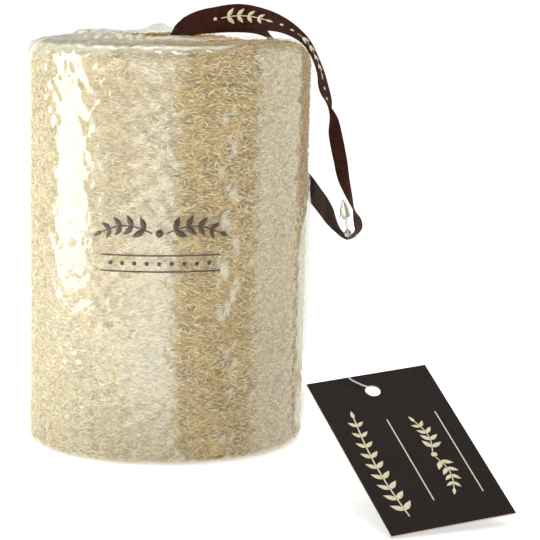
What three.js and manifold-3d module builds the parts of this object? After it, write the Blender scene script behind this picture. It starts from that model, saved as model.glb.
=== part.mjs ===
// A natural loofah sponge: one cut length of dried luffa standing on its end, shrunk into clear film,
// with a satin ribbon loop from its core and a card tag on a clear nylon loop.
// Millimetres, +Z up, origin at the middle of the foot.

import * as THREE from 'three';
import { mergeVertices } from 'three/addons/utils/BufferGeometryUtils.js';
import Module from 'manifold-3d';

const wasm = await Module();
wasm.setup();

// Driving dimensions of the sponge
const SPONGE_RADIUS = 51.3;
const SPONGE_HEIGHT = 150.4;
const FOOT_ROUNDING = 2.2;
const TOP_ROUNDING = 7.5;
const LEAN = 3.2;
const TAPER = 0.0155;
const TOP_SLOPE = 1;
const BACK_DROP = 5.4;
const DROP_TURN = 0.5;
const FOOT_RADIUS = 34.5;
const FOOT_RECESS = 1.5;
const RECESS_RADIUS = 36.5;

// The raised net of the outer skin: six-sided meshes with a pit in the middle of each
const NET_COLUMNS = 66;
const NET_ROWS = 48;
const PIT_DEPTH = 1.9;
const PIT_SPREAD = 0.5;
const STRAND_DROP = 0.5;
const NET_WANDER = 0.24;
const TOP_PIT_DEPTH = 1.1;
const TOP_PIT_RADIUS = 34;

// The three seed chambers that run from end to end round the solid core
const CHAMBERS = 3;
const CHAMBER_OFFSET = 24.5;
const CHAMBER_RADIAL = 11;
const CHAMBER_TANGENT = 12;
const CHAMBER_SIDES = 16;
const CHAMBER_STEPS = 8;
const CHAMBER_WANDER = 0.045;

// The slit in the core that holds both ends of the ribbon
const SLIT = { x: 5.2, y: 3, length: 12, width: 4, depth: 24 };

// Clear film
const FILM_GAP = 0.6;
const FILM_WALL = 0.6;
const FILM_COLUMNS = 56;
const FILM_FOOT_RADIUS = 38;
const FILM_LIP_RADIUS = 36;
const LIP_RISE = 0.8;
const COLLAR_HEIGHT = 1.4;
const COLLAR_TURN = 1.75;
const PLEATS = 14;

// Ribbon: places along its middle, each with the direction across its width
const RIBBON_WIDTH = 10;
const RIBBON_THICKNESS = 0.7;
const RIBBON_STEPS = 78;
const RIBBON_ROUTE = [
  { at: [4.35, 2.3, 129], across: [0.66, -0.75, 0] },
  { at: [4.4, 2.35, 148], across: [0.66, -0.75, 0] },
  { at: [5, 2.3, 151.8], across: [0.66, -0.75, 0] },
  { at: [8, 1, 154.8], across: [0.5, -0.75, -0.3] },
  { at: [13.6, -1.6, 156.7], across: [0.2, -0.6, -0.7] },
  { at: [19.9, -4, 158], across: [0, -0.4, -0.9] },
  { at: [26.2, -6.2, 158.6], across: [-0.05, -0.28, -0.96] },
  { at: [32.6, -8.1, 158.2], across: [-0.18, -0.54, -0.82] },
  { at: [39, -9.8, 156.9], across: [-0.32, -0.74, -0.56] },
  { at: [45.1, -11.8, 154.4], across: [-0.4, -0.87, -0.26] },
  { at: [50.6, -13.5, 150.2], across: [-0.36, -0.93, -0.02] },
  { at: [54.1, -14.9, 144.4], across: [-0.3, -0.94, 0.1] },
  { at: [56.2, -16.4, 138.7], across: [-0.32, -0.94, 0.08] },
  { at: [57.1, -18.1, 134], across: [-0.38, -0.92, 0.04] },
  { at: [57.9, -21, 129.8], across: [-0.3, -0.95, 0] },
  { at: [58.9, -24, 125.5], across: [0, -0.99, 0.1] },
  { at: [60, -27, 121.1], across: [0.3, -0.95, 0.1] },
  { at: [60.9, -30, 115.9], across: [0.38, -0.92, 0.1] },
  { at: [62.1, -33.5, 109.4], across: [0.38, -0.92, 0.1] },
  { at: [63.4, -37, 102.3], across: [0.32, -0.94, 0.1] },
  { at: [66.2, -41.3, 93.4], across: [0.02, -0.99, 0.1] },
  { at: [67.8, -43.2, 88.4], across: [-0.3, -0.94, 0.05] },
  { at: [67.9, -44, 84.6], across: [-0.33, -0.93, 0] },
  { at: [65.3, -43.8, 82.2], across: [-0.35, -0.92, 0.1] },
  { at: [62.5, -41, 83.6], across: [-0.3, -0.8, 0.45] },
  { at: [60.5, -33, 86.2], across: [-0.1, -0.6, 0.78] },
  { at: [58.4, -20, 88.2], across: [0.02, -0.4, 0.9] },
  { at: [56.9, -3, 89.4], across: [0.02, -0.2, 0.96] },
  { at: [54.8, 12, 91.4], across: [0.1, -0.3, 0.93] },
  { at: [49.7, 24.5, 97.5], across: [0.28, -0.59, 0.74] },
  { at: [44.9, 32.7, 109], across: [0.5, -0.72, 0.45] },
  { at: [42, 36.3, 124], across: [0.64, -0.74, 0.17] },
  { at: [42, 37.6, 138], across: [0.66, -0.75, -0.1] },
  { at: [40.6, 35.6, 147.6], across: [0.5, -0.6, -0.5] },
  { at: [33.4, 28.2, 154.4], across: [0.25, -0.4, -0.85] },
  { at: [20.6, 16.6, 156.3], across: [0.1, -0.25, -0.95] },
  { at: [9.8, 7, 154.9], across: [0.4, -0.6, -0.6] },
  { at: [6.4, 4.2, 152.2], across: [0.66, -0.75, 0] },
  { at: [6.05, 3.7, 148], across: [0.66, -0.75, 0] },
  { at: [6.05, 3.7, 129], across: [0.66, -0.75, 0] },
];

// Card tag: its lowest corner stands on the surface and its upper edge hangs in the nylon loop
const CARD_WIDTH = 45;
const CARD_LENGTH = 75;
const CARD_THICKNESS = 0.6;
const CARD_CORNER = new THREE.Vector3(70.9, -152, 0.35);
const CARD_ALONG_WIDTH = new THREE.Vector3(0.941, 0.329, 0.077);
const CARD_ALONG_LENGTH = new THREE.Vector3(-0.321, 0.804, 0.499);
const CARD_HOLE_RADIUS = 2.7;
const CARD_HOLE_FROM_SIDE = 21.5;
const CARD_HOLE_FROM_TOP = 8.4;

// Nylon loop and the bullet lock that closes it
const LOOP_RADIUS = 0.3;
const LOOP_SIDES = 8;
const LOOP_STEPS = 64;
const BALL_RADIUS = 1.4;
const NECK_RADIUS = 0.45;
const NECK_LENGTH = 4.2;
const BULLET_RADIUS = 2;
const BULLET_LENGTH = 6.6;
const BULLET_TIP_RADIUS = 0.4;
const LOCK_SIDES = 12;
const LOCK_BASE = new THREE.Vector3(64, -50.8, 83.1);
const LOCK_TOP = new THREE.Vector3(61.9, -51.1, 97);

const TAU = 2 * Math.PI;

// A repeatable stream of numbers from 0 to 1
function seededNumbers(seed) {
  let state = seed;
  return () => {
    state = (state * 1664525 + 1013904223) % 4294967296;
    return state / 4294967296;
  };
}

// One closed shell whose triangles share their corners
function welded(geometry) {
  geometry.deleteAttribute('normal');
  geometry.deleteAttribute('uv');
  const joined = mergeVertices(geometry, 1e-4);
  const corners = joined.getIndex().array;
  const kept = [];
  for (let k = 0; k < corners.length; k += 3) {
    const [a, b, c] = [corners[k], corners[k + 1], corners[k + 2]];
    if (a !== b && b !== c && c !== a) kept.push(a, b, c);
  }
  joined.setIndex(kept);
  return joined;
}

function toSolid(geometry) {
  return new wasm.Manifold(new wasm.Mesh({
    numProp: 3,
    vertProperties: new Float32Array(geometry.getAttribute('position').array),
    triVerts: new Uint32Array(geometry.getIndex().array),
  }));
}

function fromSolid(solid) {
  const mesh = solid.getMesh();
  const geometry = new THREE.BufferGeometry();
  geometry.setAttribute('position', new THREE.BufferAttribute(mesh.vertProperties, 3));
  geometry.setIndex(new THREE.BufferAttribute(mesh.triVerts, 1));
  return geometry;
}

function named(name, geometry, material) {
  const mesh = new THREE.Mesh(geometry, material);
  mesh.name = name;
  return mesh;
}

// A lathe grid whose point in each column and row is put where place(column, row) says
function formedLathe(profile, columns, place) {
  const geometry = new THREE.LatheGeometry(profile, columns);
  const position = geometry.getAttribute('position');
  for (let column = 0; column <= columns; column += 1) {
    for (let row = 0; row < profile.length; row += 1) {
      const point = place(column % columns, row);
      position.setXYZ(column * profile.length + row, point.x, point.y, point.z);
    }
  }
  return welded(geometry);
}

// How far the grown outline swells past a true circle, as a share of the radius; it narrows towards the foot
function swell(angle, z) {
  const level = z / SPONGE_HEIGHT;
  return 0.009 * Math.cos(2 * angle + 0.2)
    - TAPER * (1 - level)
    + 0.003 * Math.cos(4 * angle - 1)
    + 0.004 * Math.cos(2 * angle + 1.7) * Math.sin(3 * Math.PI * level);
}

// A place on or beside the grown body, which leans a little to the right. Its top was cut a little higher
// in front and falls away at the back right.
function onBody(radius, angle, z) {
  const grown = radius * (1 + swell(angle, z));
  const share = radius / SPONGE_RADIUS;
  const fall = BACK_DROP * Math.max(Math.cos(angle - DROP_TURN), 0) ** 6;
  const slope = (z / SPONGE_HEIGHT) ** 6 * (TOP_SLOPE * Math.sin(angle) * share + fall * share * share);
  return new THREE.Vector3(
    LEAN * (z / SPONGE_HEIGHT - 0.5) + grown * Math.cos(angle),
    grown * Math.sin(angle),
    z - slope,
  );
}

function roundedEdge(centreRadius, centreZ, rounding, fromAngle, toAngle, pieces) {
  const points = [];
  for (let k = 0; k <= pieces; k += 1) {
    const angle = THREE.MathUtils.lerp(fromAngle, toAngle, k / pieces);
    points.push(new THREE.Vector2(
      centreRadius + rounding * Math.cos(angle),
      centreZ + rounding * Math.sin(angle),
    ));
  }
  return points;
}

const footEdge = (pieces) => roundedEdge(
  SPONGE_RADIUS - FOOT_ROUNDING, FOOT_RECESS + FOOT_ROUNDING, FOOT_ROUNDING, -Math.PI / 2, 0, pieces);
const topEdge = (pieces) => roundedEdge(
  SPONGE_RADIUS - TOP_ROUNDING, SPONGE_HEIGHT - TOP_ROUNDING, TOP_ROUNDING, 0, Math.PI / 2, pieces);

// From the middle of the foot, out and up the side, and in to the middle of the top
function spongeProfile() {
  const foot = [0, 12, 24, FOOT_RADIUS].map((radius) => new THREE.Vector2(radius, 0));
  const recess = new THREE.Vector2(RECESS_RADIUS, FOOT_RECESS);
  const sideFoot = FOOT_RECESS + FOOT_ROUNDING;
  const sideTop = SPONGE_HEIGHT - TOP_ROUNDING;
  const side = [];
  for (let row = 1; row < NET_ROWS; row += 1) {
    const z = THREE.MathUtils.lerp(sideFoot, sideTop, row / NET_ROWS);
    side.push(new THREE.Vector2(SPONGE_RADIUS, z));
  }
  const top = [38, 32, 26, 20, 14, 0].map((radius) => new THREE.Vector2(radius, SPONGE_HEIGHT));
  return [...foot, recess, ...footEdge(3), ...side, ...topEdge(4), ...top];
}

// The body with its raised net. Each row of the grid is set half a column on from the one below,
// so every third point has six strand points round it and becomes the pit of one mesh of the net.
// On the top the pits grow shallower towards the middle, where the columns crowd together.
function nettedBody() {
  const profile = spongeProfile();
  const random = seededNumbers(20);
  const draws = profile.map(() => Array.from({ length: NET_COLUMNS }, () => [random(), random(), random()]));
  const column = TAU / NET_COLUMNS;
  const rowHeight = (SPONGE_HEIGHT - TOP_ROUNDING - FOOT_ROUNDING) / NET_ROWS;
  return formedLathe(profile, NET_COLUMNS, (i, j) => {
    const { x: radius, y: z } = profile[j];
    const [wander, rise, deep] = draws[j][i];
    const onFoot = z < FOOT_RECESS + 0.1;
    const onTop = z > SPONGE_HEIGHT - 0.1;
    const onSide = radius > SPONGE_RADIUS - 0.1;
    const isPit = (i - j + 3 * NET_ROWS) % 3 === 0;
    const angle = column * (i + 0.5 * j + (onSide ? NET_WANDER * (2 * wander - 1) : 0));
    if (onFoot || radius === 0) return onBody(radius, angle, z);
    const strand = STRAND_DROP * rise;
    const spacing = Math.min(radius / TOP_PIT_RADIUS, 1);
    if (onTop) return onBody(radius, angle, z - spacing * (isPit ? TOP_PIT_DEPTH : strand));
    const inset = isPit ? PIT_DEPTH * (1 + PIT_SPREAD * (2 * deep - 1)) : strand;
    return onBody(radius - inset, angle, z + (onSide ? NET_WANDER * rowHeight * (2 * rise - 1) : 0));
  });
}

// One seed chamber: an egg-shaped channel whose wall wanders a little on its way up
function chamber(index) {
  const outline = new THREE.Shape();
  outline.absellipse(0, 0, CHAMBER_RADIAL, CHAMBER_TANGENT, 0, TAU);
  const over = 2;
  const geometry = new THREE.ExtrudeGeometry(outline, {
    depth: SPONGE_HEIGHT + 2 * over,
    steps: CHAMBER_STEPS,
    curveSegments: CHAMBER_SIDES / 2,
    bevelEnabled: false,
  });
  const position = geometry.getAttribute('position');
  const turn = TAU * (index / CHAMBERS + 0.25);
  for (let k = 0; k < position.count; k += 1) {
    const [x, y, z] = [position.getX(k), position.getY(k), position.getZ(k) - over];
    const share = 1 + CHAMBER_WANDER * Math.sin(z / 17 + 2 * index + 2 * Math.atan2(y, x));
    position.setXYZ(k, x * share, y * share, z);
  }
  geometry.translate(CHAMBER_OFFSET, 0, 0);
  geometry.rotateZ(turn);
  return toSolid(welded(geometry));
}

function ribbonSlit() {
  const geometry = new THREE.BoxGeometry(SLIT.length, SLIT.width, 2 * SLIT.depth);
  geometry.rotateZ(Math.atan2(RIBBON_ROUTE[0].across[1], RIBBON_ROUTE[0].across[0]));
  geometry.translate(SLIT.x, SLIT.y, SPONGE_HEIGHT);
  return toSolid(welded(geometry));
}

function sponge() {
  let body = toSolid(nettedBody());
  for (let index = 0; index < CHAMBERS; index += 1) body = body.subtract(chamber(index));
  body = body.subtract(ribbonSlit());
  return fromSolid(body);
}

// The film's line over the sponge, from its lip under the foot to its ruffled lip on the top
function filmLine() {
  const footLip = [FILM_FOOT_RADIUS, 42].map((radius) => new THREE.Vector2(radius, FOOT_RECESS));
  const side = [0.3, 0.6, 0.85].map((share) => new THREE.Vector2(SPONGE_RADIUS, share * SPONGE_HEIGHT));
  const topLip = [41.5, 38.6].map((radius) => new THREE.Vector2(radius, SPONGE_HEIGHT));
  const collar = [0.15, 0.55, 1].map((share, k) => new THREE.Vector2(
    FILM_LIP_RADIUS + 0.6 * (2 - k), SPONGE_HEIGHT + LIP_RISE * share));
  return [...footLip, ...footEdge(3), ...side, ...topEdge(4), ...topLip, ...collar];
}

// How far the free lip stands up round the top: a pleated collar, highest at the back, lowest in front
function collarHeight(angle) {
  const pleats = 0.65 + 0.35 * Math.sin(PLEATS * angle + Math.sin(2 * angle));
  const back = 0.5 + 0.5 * Math.cos(angle - COLLAR_TURN);
  return COLLAR_HEIGHT * pleats * back;
}

function outwardNormals(line) {
  return line.map((point, k) => {
    const before = line[Math.max(k - 1, 0)];
    const after = line[Math.min(k + 1, line.length - 1)];
    return new THREE.Vector2(after.y - before.y, before.x - after.x).normalize();
  });
}

// Film of even thickness: up its outer face, back down its inner face, and closed at both lips
function filmWrap() {
  const line = filmLine();
  const normals = outwardNormals(line);
  const shifted = (offset) => line.map((point, k) => point.clone().addScaledVector(normals[k], offset));
  const outer = shifted(FILM_GAP + FILM_WALL);
  const inner = shifted(FILM_GAP).reverse();
  const profile = [...outer, ...inner, outer[0].clone()];
  const turn = TAU / FILM_COLUMNS;
  return formedLathe(profile, FILM_COLUMNS, (i, j) => {
    const { x: radius, y: z } = profile[j];
    const angle = turn * i;
    const row = j < line.length ? j : Math.max(2 * line.length - 1 - j, 0);
    const free = Math.max((row - (line.length - 4)) / 3, 0);
    return onBody(radius, angle, z + free * collarHeight(angle));
  });
}

// A straight flat strip laid along the ribbon's route, turned to each place's direction across
function ribbon() {
  const middle = new THREE.CatmullRomCurve3(
    RIBBON_ROUTE.map(({ at }) => new THREE.Vector3(...at)), false, 'catmullrom', 0.5);
  const acrossLine = new THREE.CatmullRomCurve3(
    RIBBON_ROUTE.map(({ across }) => new THREE.Vector3(...across)), false, 'catmullrom', 0.5);
  const [half, thick] = [RIBBON_WIDTH / 2, RIBBON_THICKNESS / 2];
  const section = new THREE.Shape([
    new THREE.Vector2(-half, -thick),
    new THREE.Vector2(-half / 3, -thick),
    new THREE.Vector2(half / 3, -thick),
    new THREE.Vector2(half, -thick),
    new THREE.Vector2(half, thick),
    new THREE.Vector2(half / 3, thick),
    new THREE.Vector2(-half / 3, thick),
    new THREE.Vector2(-half, thick),
  ]);
  const geometry = new THREE.ExtrudeGeometry(section, { depth: 1, steps: RIBBON_STEPS, bevelEnabled: false });
  const position = geometry.getAttribute('position');
  for (let k = 0; k < position.count; k += 1) {
    const along = THREE.MathUtils.clamp(position.getZ(k), 0, 1);
    const tangent = middle.getTangent(along);
    const across = acrossLine.getPoint(along);
    across.addScaledVector(tangent, -across.dot(tangent)).normalize();
    const face = new THREE.Vector3().crossVectors(tangent, across);
    const point = middle.getPoint(along)
      .addScaledVector(across, position.getX(k))
      .addScaledVector(face, position.getY(k));
    position.setXYZ(k, point.x, point.y, point.z);
  }
  return welded(geometry);
}

const cardNormal = new THREE.Vector3().crossVectors(CARD_ALONG_WIDTH, CARD_ALONG_LENGTH).normalize();

// A place on the card, from its lower left corner: along its width, along its length and above its back
function onCard(width, length, above) {
  return CARD_CORNER.clone()
    .addScaledVector(CARD_ALONG_WIDTH, width)
    .addScaledVector(CARD_ALONG_LENGTH, length)
    .addScaledVector(cardNormal, above);
}

function swingTag() {
  const outline = new THREE.Shape([
    new THREE.Vector2(0, 0),
    new THREE.Vector2(CARD_WIDTH, 0),
    new THREE.Vector2(CARD_WIDTH, CARD_LENGTH),
    new THREE.Vector2(0, CARD_LENGTH),
  ]);
  const hole = new THREE.Path();
  hole.absarc(CARD_HOLE_FROM_SIDE, CARD_LENGTH - CARD_HOLE_FROM_TOP, CARD_HOLE_RADIUS, 0, TAU);
  outline.holes.push(hole);
  return welded(new THREE.ExtrudeGeometry(outline, {
    depth: CARD_THICKNESS,
    curveSegments: 20,
    bevelEnabled: false,
  }));
}

function placeCard(mesh) {
  const basis = new THREE.Matrix4().makeBasis(
    CARD_ALONG_WIDTH.clone().normalize(),
    new THREE.Vector3().crossVectors(cardNormal, CARD_ALONG_WIDTH).normalize(),
    cardNormal,
  );
  mesh.position.copy(CARD_CORNER);
  mesh.quaternion.setFromRotationMatrix(basis);
  return mesh;
}

// The nylon loop: from the ball down over the card's face, through its hole, up behind it,
// through the ribbon's bend and back to the foot of the bullet
function tagLoop() {
  const holeLength = CARD_LENGTH - CARD_HOLE_FROM_TOP;
  const route = new THREE.CatmullRomCurve3([
    new THREE.Vector3(64.1, -51, 82.4),
    new THREE.Vector3(64.1, -54, 78),
    new THREE.Vector3(63.6, -69, 58),
    new THREE.Vector3(62, -83.5, 46),
    onCard(14.8, CARD_LENGTH - 1, 2.2),
    onCard(18, holeLength + 3.2, 1.5),
    onCard(20.6, holeLength + 0.4, 1.6),
    onCard(21.6, holeLength - 0.5, 0.3),
    onCard(20.8, holeLength + 0.3, -1.3),
    onCard(18.5, holeLength + 3.6, -1.6),
    onCard(15.8, CARD_LENGTH + 0.6, -1.2),
    onCard(14.4, CARD_LENGTH + 3.4, -0.2),
    new THREE.Vector3(62.7, -66, 59.5),
    new THREE.Vector3(64.6, -44.5, 76.8),
    new THREE.Vector3(66.6, -37.2, 81.2),
    new THREE.Vector3(65.8, -38, 85),
    new THREE.Vector3(65.1, -42, 88.6),
    new THREE.Vector3(64.8, -46.2, 90.2),
    new THREE.Vector3(64.4, -48.5, 90.5),
  ], false, 'centripetal');
  const section = new THREE.Shape();
  section.absarc(0, 0, LOOP_RADIUS, 0, TAU);
  return welded(new THREE.ExtrudeGeometry(section, {
    extrudePath: route,
    steps: LOOP_STEPS,
    curveSegments: LOOP_SIDES / 2,
    bevelEnabled: false,
  }));
}

// Ball, neck and bullet turned about one axis, from the ball up to the bullet's tip
function loopLock() {
  const ball = [];
  const ballPieces = 5;
  const neckAngle = Math.PI / 2 - Math.asin(NECK_RADIUS / BALL_RADIUS);
  for (let k = 0; k <= ballPieces; k += 1) {
    const angle = THREE.MathUtils.lerp(-Math.PI / 2, neckAngle, k / ballPieces);
    ball.push(new THREE.Vector2(
      k === 0 ? 0 : BALL_RADIUS * Math.cos(angle),
      BALL_RADIUS * (1 + Math.sin(angle)),
    ));
  }
  const bulletFoot = 2 * BALL_RADIUS + NECK_LENGTH;
  const profile = [
    ...ball,
    new THREE.Vector2(NECK_RADIUS, bulletFoot - 0.6),
    new THREE.Vector2(BULLET_RADIUS, bulletFoot + 0.6),
    new THREE.Vector2(BULLET_RADIUS * 0.8, bulletFoot + BULLET_LENGTH * 0.5),
    new THREE.Vector2(BULLET_TIP_RADIUS, bulletFoot + BULLET_LENGTH),
    new THREE.Vector2(0, bulletFoot + BULLET_LENGTH + 0.2),
  ];
  return welded(new THREE.LatheGeometry(profile, LOCK_SIDES));
}

function placeLock(mesh) {
  const lockAxis = new THREE.Vector3().subVectors(LOCK_TOP, LOCK_BASE).normalize();
  mesh.position.copy(LOCK_BASE);
  mesh.quaternion.setFromUnitVectors(new THREE.Vector3(0, 1, 0), lockAxis);
  return mesh;
}

const fibreMaterial = new THREE.MeshStandardMaterial({ color: 0xdccfa4, roughness: 0.85, metalness: 0 });
const filmMaterial = new THREE.MeshStandardMaterial({
  color: 0xf2f1ea, roughness: 0.12, metalness: 0, transparent: true, opacity: 0.3,
});
const satinMaterial = new THREE.MeshStandardMaterial({ color: 0x3a201b, roughness: 0.4, metalness: 0 });
const cardMaterial = new THREE.MeshStandardMaterial({ color: 0x2b201c, roughness: 0.55, metalness: 0 });
const nylonMaterial = new THREE.MeshStandardMaterial({
  color: 0xeeeeea, roughness: 0.2, metalness: 0, transparent: true, opacity: 0.5,
});

const loofahSponge = new THREE.Group();
loofahSponge.add(named('loofah', sponge(), fibreMaterial));
loofahSponge.add(named('film_wrap', filmWrap(), filmMaterial));
loofahSponge.add(named('ribbon', ribbon(), satinMaterial));

const hangingTag = new THREE.Group();
hangingTag.add(placeLock(named('loop_lock', loopLock(), nylonMaterial)));
hangingTag.add(named('tag_loop', tagLoop(), nylonMaterial));
hangingTag.add(placeCard(named('swing_tag', swingTag(), cardMaterial)));
loofahSponge.add(hangingTag);

export default loofahSponge;
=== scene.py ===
"""A natural loofah sponge in clear shrink film, with a satin hanging ribbon and a card tag.

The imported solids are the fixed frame. This script dresses them: a mat of luffa fibres over the sponge,
crinkled film, woven ribbon, nylon strand, card and plain leaf prints, on a pale floor in soft light.
Sizes inside the shape functions are millimetres; the mesh builder turns them to metres.
"""

import math

import bpy
import numpy as np
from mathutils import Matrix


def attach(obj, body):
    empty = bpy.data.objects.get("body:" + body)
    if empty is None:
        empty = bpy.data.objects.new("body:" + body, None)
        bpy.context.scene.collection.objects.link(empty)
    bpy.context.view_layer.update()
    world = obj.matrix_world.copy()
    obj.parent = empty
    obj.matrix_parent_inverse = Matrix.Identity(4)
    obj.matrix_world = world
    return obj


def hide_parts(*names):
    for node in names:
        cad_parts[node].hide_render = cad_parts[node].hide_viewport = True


bl_info = {
    "name": "Natural Loofah Sponge",
    "version": (1, 0, 0),
    "blender": (4, 5, 0),
    "location": "View3D > Sidebar > Loofah",
    "description": "Loofah fibres, shrink film, satin ribbon, card tag and studio",
    "category": "Add Mesh",
}

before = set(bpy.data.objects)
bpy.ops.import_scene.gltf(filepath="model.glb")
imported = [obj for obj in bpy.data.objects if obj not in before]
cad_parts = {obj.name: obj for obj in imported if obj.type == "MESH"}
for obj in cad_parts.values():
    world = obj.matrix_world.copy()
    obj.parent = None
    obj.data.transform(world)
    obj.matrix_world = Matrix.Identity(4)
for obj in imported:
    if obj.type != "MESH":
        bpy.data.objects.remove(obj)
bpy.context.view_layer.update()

MM = 0.001
TAU = 2 * math.pi

# The grown body, as the solids have it
SPONGE_RADIUS = 51.3
SPONGE_HEIGHT = 150.4
FOOT_ROUNDING = 2.2
TOP_ROUNDING = 7.5
LEAN = 3.2
TAPER = 0.0155
TOP_SLOPE = 1.0
BACK_DROP = 5.4
DROP_TURN = 0.5
FOOT_RADIUS = 34.5
FOOT_RECESS = 1.5
CHAMBERS = 3
CHAMBER_OFFSET = 24.5
CHAMBER_RADIUS = 11.6

# The ribbon's middle line, and the direction across its width at each place
RIBBON_ROUTE = [
    (4.35, 2.3, 129), (4.4, 2.35, 148), (5, 2.3, 151.8), (8, 1, 154.8),
    (13.6, -1.6, 156.7), (19.9, -4, 158), (26.2, -6.2, 158.6), (32.6, -8.1, 158.2),
    (39, -9.8, 156.9), (45.1, -11.8, 154.4), (50.6, -13.5, 150.2), (54.1, -14.9, 144.4),
    (56.2, -16.4, 138.7), (57.1, -18.1, 134), (57.9, -21, 129.8), (58.9, -24, 125.5),
    (60, -27, 121.1), (60.9, -30, 115.9), (62.1, -33.5, 109.4), (63.4, -37, 102.3),
    (66.2, -41.3, 93.4), (67.8, -43.2, 88.4), (67.9, -44, 84.6), (65.3, -43.8, 82.2),
    (62.5, -41, 83.6), (60.5, -33, 86.2), (58.4, -20, 88.2), (56.9, -3, 89.4),
    (54.8, 12, 91.4), (49.7, 24.5, 97.5), (44.9, 32.7, 109), (42, 36.3, 124),
    (42, 37.6, 138), (40.6, 35.6, 147.6), (33.4, 28.2, 154.4), (20.6, 16.6, 156.3),
    (9.8, 7, 154.9), (6.4, 4.2, 152.2), (6.05, 3.7, 148), (6.05, 3.7, 129),
]
RIBBON_ACROSS = [
    (0.66, -0.75, 0), (0.66, -0.75, 0), (0.66, -0.75, 0), (0.5, -0.75, -0.3),
    (0.2, -0.6, -0.7), (0, -0.4, -0.9), (-0.05, -0.28, -0.96), (-0.18, -0.54, -0.82),
    (-0.32, -0.74, -0.56), (-0.4, -0.87, -0.26), (-0.36, -0.93, -0.02), (-0.3, -0.94, 0.1),
    (-0.32, -0.94, 0.08), (-0.38, -0.92, 0.04), (-0.3, -0.95, 0), (0, -0.99, 0.1),
    (0.3, -0.95, 0.1), (0.38, -0.92, 0.1), (0.38, -0.92, 0.1), (0.32, -0.94, 0.1),
    (0.02, -0.99, 0.1), (-0.3, -0.94, 0.05), (-0.33, -0.93, 0), (-0.35, -0.92, 0.1),
    (-0.3, -0.8, 0.45), (-0.1, -0.6, 0.78), (0.02, -0.4, 0.9), (0.02, -0.2, 0.96),
    (0.1, -0.3, 0.93), (0.28, -0.59, 0.74), (0.5, -0.72, 0.45), (0.64, -0.74, 0.17),
    (0.66, -0.75, -0.1), (0.5, -0.6, -0.5), (0.25, -0.4, -0.85), (0.1, -0.25, -0.95),
    (0.4, -0.6, -0.6), (0.66, -0.75, 0), (0.66, -0.75, 0), (0.66, -0.75, 0),
]
RIBBON_PRINTS = [41, 71, 101]

# The card: its lowest corner, the directions along its sides, and its punched hole
CARD_CORNER = np.array([70.9, -152, 0.35])
CARD_ALONG_WIDTH = np.array([0.941, 0.329, 0.077])
CARD_ALONG_LENGTH = np.array([-0.321, 0.804, 0.499])
CARD_WIDTH = 45.0
CARD_LENGTH = 75.0
CARD_THICKNESS = 0.6
CARD_HOLE_FROM_SIDE = 21.5
CARD_HOLE_FROM_TOP = 8.4


def unit(vectors):
    """Each vector divided by its length."""
    return vectors / np.maximum(np.linalg.norm(vectors, axis=-1, keepdims=True), 1e-9)


def distances(line):
    """How far each point of a line lies along it."""
    return np.concatenate([[0], np.cumsum(np.linalg.norm(np.diff(line, axis=0), axis=1))])


def at_distances(line, along, wanted):
    """The places at the wanted distances on a line in space whose points lie at those along it."""
    return np.stack([np.interp(wanted, along, line[:, k]) for k in range(3)], axis=-1)


CARD_NORMAL = unit(np.cross(CARD_ALONG_WIDTH, CARD_ALONG_LENGTH))


def linear(hex_colour, alpha=1.0):
    """An sRGB hex value as linear red, green, blue and alpha."""
    value = hex_colour.lstrip("#")
    channels = [int(value[k:k + 2], 16) / 255 for k in (0, 2, 4)]
    return (*[c / 12.92 if c <= 0.04045 else ((c + 0.055) / 1.055) ** 2.4 for c in channels], alpha)


# Places on the body, the card and the curves


def swell(angle, z):
    """How far the grown outline swells past a circle: two and four lobes, two that change with height, and a
    taper towards the foot."""
    level = z / SPONGE_HEIGHT
    return (
        0.009 * np.cos(2 * angle + 0.2)
        - TAPER * (1 - level)
        + 0.003 * np.cos(4 * angle - 1)
        + 0.004 * np.cos(2 * angle + 1.7) * np.sin(3 * math.pi * level)
    )


def on_body(radius, angle, z):
    """A point at that radius, angle and height, swelled, moved right as the body leans, and lowered as the
    top slopes down to the back and falls away at the back right."""
    grown = radius * (1 + swell(angle, z))
    x = LEAN * (z / SPONGE_HEIGHT - 0.5) + grown * np.cos(angle)
    share = radius / SPONGE_RADIUS
    fall = BACK_DROP * np.maximum(np.cos(angle - DROP_TURN), 0) ** 6
    slope = (z / SPONGE_HEIGHT) ** 6 * (TOP_SLOPE * np.sin(angle) * share + fall * share ** 2)
    return np.stack([x, grown * np.sin(angle), z - slope + 0 * x], axis=-1)


def quarter_round(centre_radius, centre_z, rounding, start, end):
    """Twelve points on a quarter circle of the profile."""
    angles = np.linspace(start, end, 12)
    return np.stack([centre_radius + rounding * np.cos(angles), centre_z + rounding * np.sin(angles)], axis=1)


def skin_profile():
    """The body's outline in radius and height, from under the foot's rim, up the side and in over the top."""
    foot = quarter_round(SPONGE_RADIUS - FOOT_ROUNDING, FOOT_RECESS + FOOT_ROUNDING, FOOT_ROUNDING,
                         -math.pi / 2, 0)
    top = quarter_round(SPONGE_RADIUS - TOP_ROUNDING, SPONGE_HEIGHT - TOP_ROUNDING, TOP_ROUNDING,
                        0, math.pi / 2)
    return np.vstack([[[36.5, FOOT_RECESS]], foot, top, [[30, SPONGE_HEIGHT]]])


PROFILE = skin_profile()
PROFILE_ALONG = distances(PROFILE)
PROFILE_NORMAL = unit(np.gradient(PROFILE, PROFILE_ALONG, axis=0)[:, ::-1] * [1, -1])
SIDE_FOOT_ALONG = 12.6 + 0.5 * math.pi * FOOT_ROUNDING
SIDE_TOP_ALONG = SIDE_FOOT_ALONG + SPONGE_HEIGHT - FOOT_RECESS - FOOT_ROUNDING - TOP_ROUNDING
EDGE_ALONG = SIDE_TOP_ALONG + 0.25 * math.pi * TOP_ROUNDING
RIM_ALONG = SIDE_TOP_ALONG + 0.5 * math.pi * TOP_ROUNDING

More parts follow.
